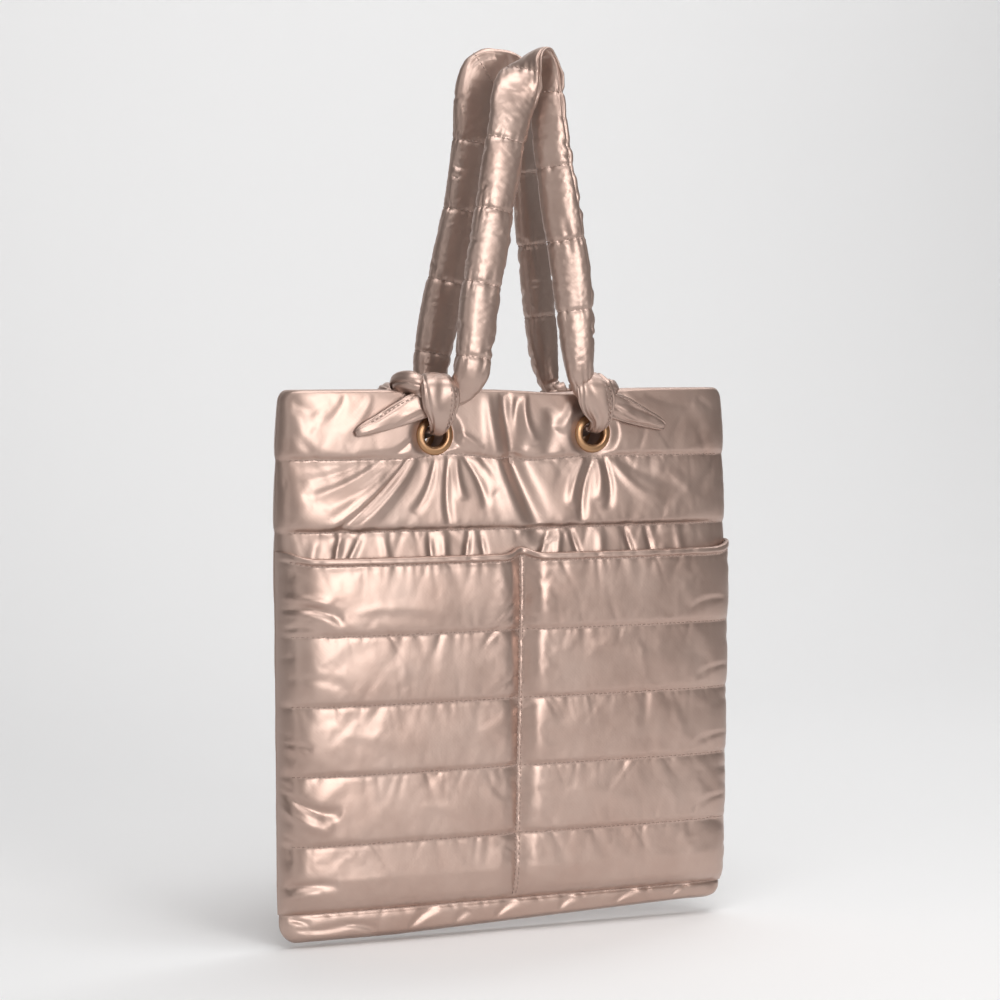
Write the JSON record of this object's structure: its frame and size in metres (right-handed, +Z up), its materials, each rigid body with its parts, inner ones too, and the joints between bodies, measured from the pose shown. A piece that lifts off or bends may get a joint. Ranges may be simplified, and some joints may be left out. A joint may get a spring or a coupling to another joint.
{
  "type": "puffer tote bag",
  "caption": "Quilted puffer tote in metallic padded cloth, hanging by two knotted padded handles through metal grommets, with a divided front pocket.",
  "frame": {"origin": "the point that the bag hangs from, under the tops of the two handles and halfway between them", "axes": "+Z up along the hanging bag, front towards -Y, +X to the right of someone who faces its front"},
  "size_m": [0.4098, 0.09, 0.7177],
  "materials": {
    "puffer_fabric": "metallic satin coating on thin quilted nylon",
    "grommet_metal": "antique gold, satin"
  },
  "bodies": {
    "root": {"front_panel": "puffer_fabric", "back_panel": "puffer_fabric", "pocket_panel": "puffer_fabric", "grommet_front_left": "grommet_metal", "grommet_front_right": "grommet_metal", "grommet_back_left": "grommet_metal", "grommet_back_right": "grommet_metal", "handle_front": "puffer_fabric", "handle_back": "puffer_fabric"}
  },
  "joints": []
}
